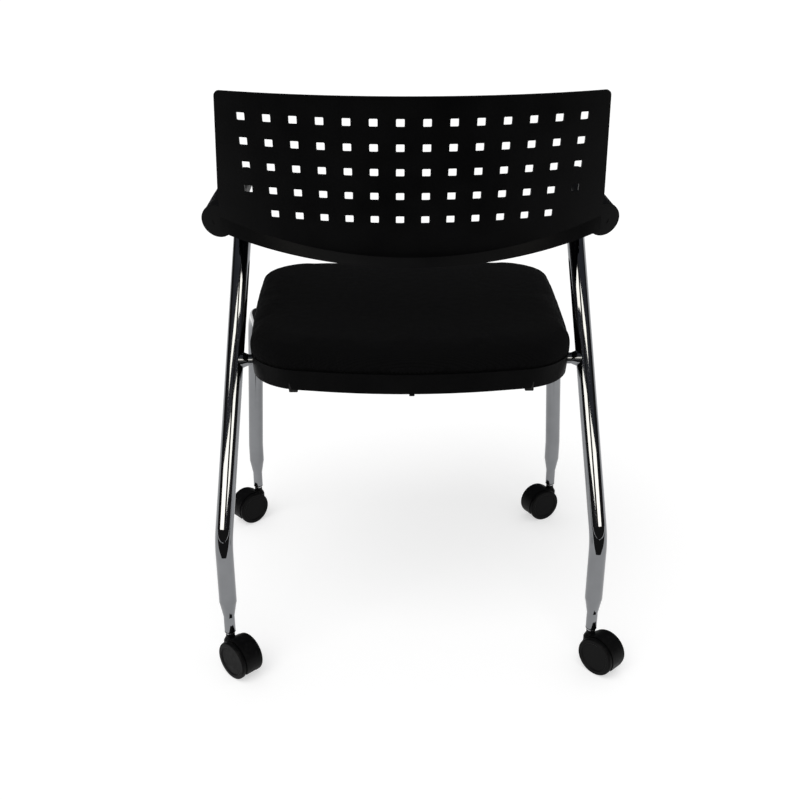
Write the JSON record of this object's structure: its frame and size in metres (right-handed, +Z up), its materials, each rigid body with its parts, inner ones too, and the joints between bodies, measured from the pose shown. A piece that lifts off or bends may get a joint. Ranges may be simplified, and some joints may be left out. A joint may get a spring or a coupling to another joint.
{
  "type": "conference chair",
  "caption": "Conference chair with a perforated curved back on cantilever arms, an upholstered seat and a chromed tube frame on twin-wheel casters.",
  "frame": {"origin": "on the floor, midway between the four caster stems", "axes": "+Z up, the sitter faces -Y, the sitter's left hand is on +X"},
  "size_m": [0.6224, 0.5079, 0.815],
  "materials": {
    "frame_chrome": "polished chrome plating on steel tube",
    "bracket_paint": "black paint on steel plate",
    "back_plastic": "black satin moulded plastic with a fine grain",
    "pan_plastic": "black moulded plastic",
    "plug_plastic": "black moulded plastic",
    "plywood": "plain beech plywood",
    "seat_fabric": "black woven upholstery over foam",
    "fastener_steel": "zinc-plated steel",
    "caster_nylon": "black nylon",
    "bumper_rubber": "black rubber"
  },
  "bodies": {
    "chair": {"arm_left": "back_plastic", "arm_right": "back_plastic", "arm_screws": "fastener_steel", "back_screws": "fastener_steel", "back_shell": "back_plastic", "caster_front_left_grip_ring": "fastener_steel", "caster_front_left_socket": "plug_plastic", "caster_front_left_stem": "fastener_steel", "caster_front_right_grip_ring": "fastener_steel", "caster_front_right_socket": "plug_plastic", "caster_front_right_stem": "fastener_steel", "caster_rear_left_grip_ring": "fastener_steel", "caster_rear_left_socket": "plug_plastic", "caster_rear_left_stem": "fastener_steel", "caster_rear_right_grip_ring": "fastener_steel", "caster_rear_right_socket": "plug_plastic", "caster_rear_right_stem": "fastener_steel", "cross_bar": "frame_chrome", "front_bar": "frame_chrome", "front_leg_left": "frame_chrome", "front_leg_right": "frame_chrome", "pan_screws": "fastener_steel", "rear_tube_left": "frame_chrome", "rear_tube_right": "frame_chrome", "seat_board": "plywood", "seat_bracket_front_left": "bracket_paint", "seat_bracket_front_right": "bracket_paint", "seat_bracket_rear_left": "bracket_paint", "seat_bracket_rear_right": "bracket_paint", "seat_bumpers": "bumper_rubber", "seat_cushion": "seat_fabric", "seat_pan": "pan_plastic", "seat_screws": "fastener_steel", "tee_nuts": "fastener_steel", "tube_plugs": "plug_plastic"},
    "caster_rear_left": {"caster_rear_left_hood": "caster_nylon", "caster_rear_left_axle": "fastener_steel"},
    "wheel_rear_left_a": {"caster_rear_left_wheel_a": "caster_nylon"},
    "wheel_rear_left_b": {"caster_rear_left_wheel_b": "caster_nylon"},
    "caster_rear_right": {"caster_rear_right_hood": "caster_nylon", "caster_rear_right_axle": "fastener_steel"},
    "wheel_rear_right_a": {"caster_rear_right_wheel_a": "caster_nylon"},
    "wheel_rear_right_b": {"caster_rear_right_wheel_b": "caster_nylon"},
    "caster_front_left": {"caster_front_left_hood": "caster_nylon", "caster_front_left_axle": "fastener_steel"},
    "wheel_front_left_a": {"caster_front_left_wheel_a": "caster_nylon"},
    "wheel_front_left_b": {"caster_front_left_wheel_b": "caster_nylon"},
    "caster_front_right": {"caster_front_right_hood": "caster_nylon", "caster_front_right_axle": "fastener_steel"},
    "wheel_front_right_a": {"caster_front_right_wheel_a": "caster_nylon"},
    "wheel_front_right_b": {"caster_front_right_wheel_b": "caster_nylon"}
  },
  "joints": [
    {"name": "rear_left_swivel", "type": "hinge", "parent": "chair", "child": "caster_rear_left", "pos_m": [0.262, 0.2205, 0.05], "axis": [0, 0, 1], "continuous": true},
    {"name": "rear_left_wheel_a_spin", "type": "hinge", "parent": "caster_rear_left", "child": "wheel_rear_left_a", "pos_m": [0.2468, 0.2357, 0.0285], "axis": [0.7071, 0.7071, 0], "continuous": true},
    {"name": "rear_left_wheel_b_spin", "type": "hinge", "parent": "caster_rear_left", "child": "wheel_rear_left_b", "pos_m": [0.2468, 0.2357, 0.0285], "axis": [0.7071, 0.7071, 0], "continuous": true},
    {"name": "rear_right_swivel", "type": "hinge", "parent": "chair", "child": "caster_rear_right", "pos_m": [-0.262, 0.2205, 0.05], "axis": [0, 0, 1], "continuous": true},
    {"name": "rear_right_wheel_a_spin", "type": "hinge", "parent": "caster_rear_right", "child": "wheel_rear_right_a", "pos_m": [-0.27666, 0.23622, 0.0285], "axis": [0.7314, 0.682, 0], "continuous": true},
    {"name": "rear_right_wheel_b_spin", "type": "hinge", "parent": "caster_rear_right", "child": "wheel_rear_right_b", "pos_m": [-0.27666, 0.23622, 0.0285], "axis": [0.7314, 0.682, 0], "continuous": true},
    {"name": "front_left_swivel", "type": "hinge", "parent": "chair", "child": "caster_front_left", "pos_m": [0.265, -0.2205, 0.05], "axis": [0, 0, 1], "continuous": true},
    {"name": "front_left_wheel_a_spin", "type": "hinge", "parent": "caster_front_left", "child": "wheel_front_left_a", "pos_m": [0.28123, -0.20639, 0.0285], "axis": [0.6561, -0.7547, 0], "continuous": true},
    {"name": "front_left_wheel_b_spin", "type": "hinge", "parent": "caster_front_left", "child": "wheel_front_left_b", "pos_m": [0.28123, -0.20639, 0.0285], "axis": [0.6561, -0.7547, 0], "continuous": true},
    {"name": "front_right_swivel", "type": "hinge", "parent": "chair", "child": "caster_front_right", "pos_m": [-0.265, -0.2205, 0.05], "axis": [0, 0, 1], "continuous": true},
    {"name": "front_right_wheel_a_spin", "type": "hinge", "parent": "caster_front_right", "child": "wheel_front_right_a", "pos_m": [-0.24584, -0.21074, 0.0285], "axis": [0.454, -0.891, 0], "continuous": true},
    {"name": "front_right_wheel_b_spin", "type": "hinge", "parent": "caster_front_right", "child": "wheel_front_right_b", "pos_m": [-0.24584, -0.21074, 0.0285], "axis": [0.454, -0.891, 0], "continuous": true}
  ]
}
